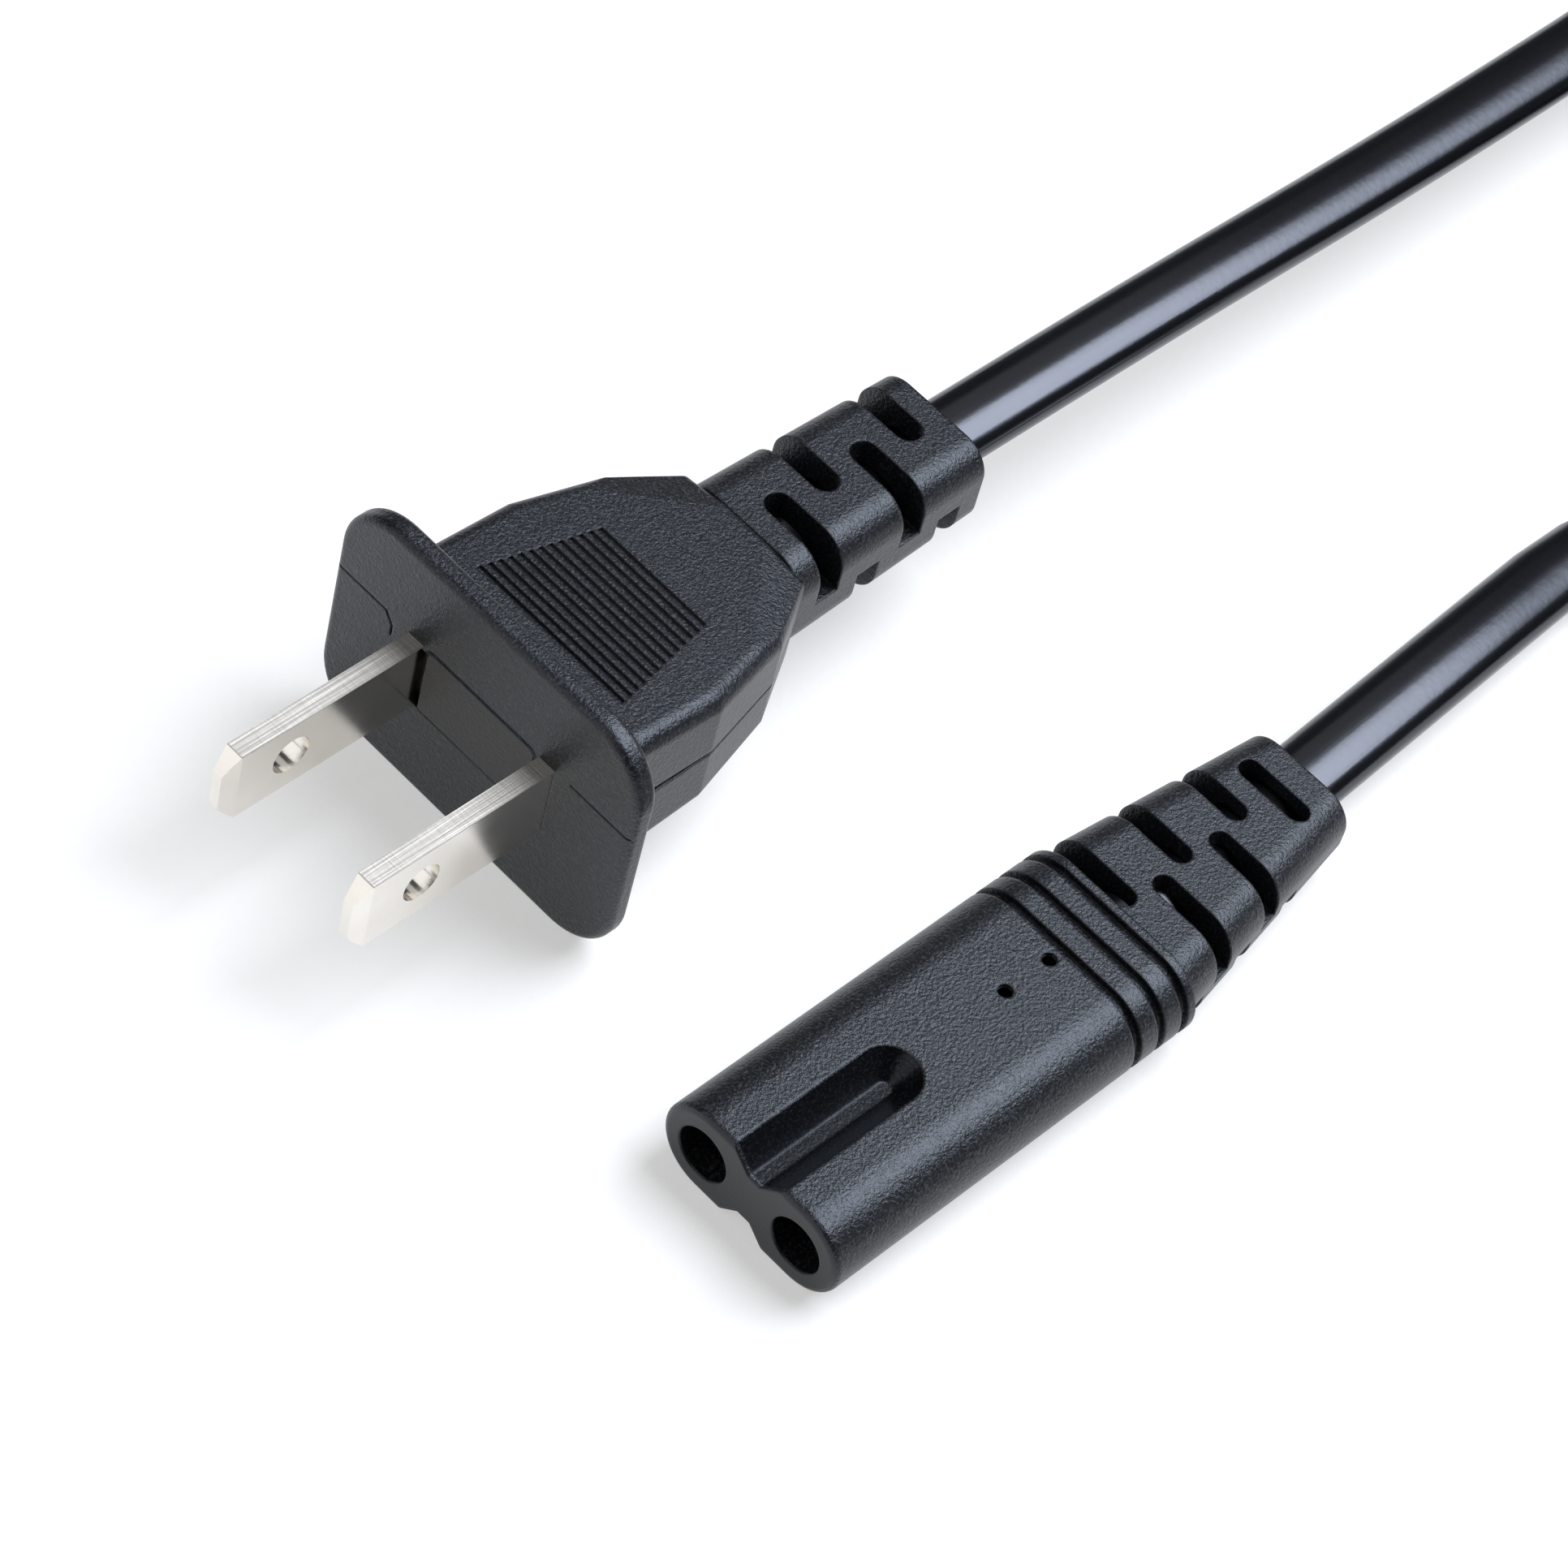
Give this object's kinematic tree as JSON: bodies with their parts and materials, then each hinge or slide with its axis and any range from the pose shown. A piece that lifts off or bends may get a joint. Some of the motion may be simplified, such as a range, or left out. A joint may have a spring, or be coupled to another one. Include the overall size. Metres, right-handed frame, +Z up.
{
  "type": "figure eight power connector",
  "caption": "Mains lead with a figure-eight appliance connector, a flat cord and a flat-blade plug, both ends with slotted strain reliefs.",
  "frame": {"origin": "on the floor under the middle of the connector, which lies on its flat underside", "axes": "+X from the mating face towards the cord, along the connector, +Y across it, +Z up"},
  "size_m": [0.207, 0.0899, 0.0213],
  "materials": {
    "moulding": "fine spark-eroded texture",
    "insert": "satin",
    "contact": "bright",
    "blade": "bright nickel plate",
    "conductor": "bright copper strand",
    "core_brown": "glossy",
    "core_blue": "glossy",
    "cord_jacket": "glossy",
    "tie": "woven strap"
  },
  "bodies": {
    "root": {"connector_overmould": "moulding", "connector_contact_carrier": "insert", "connector_contact_left": "contact", "connector_contact_right": "contact", "connector_core_left": "core_brown", "connector_core_right": "core_blue", "connector_conductor_left": "conductor", "connector_conductor_right": "conductor", "plug_overmould": "moulding", "plug_blade_carrier": "insert", "plug_blade_left": "blade", "plug_blade_right": "blade", "plug_core_left": "core_brown", "plug_core_right": "core_blue", "plug_conductor_left": "conductor", "plug_conductor_right": "conductor", "cord_connector_run": "cord_jacket", "cord_coil": "cord_jacket", "cord_plug_run": "cord_jacket", "coil_tie": "tie"}
  },
  "joints": []
}
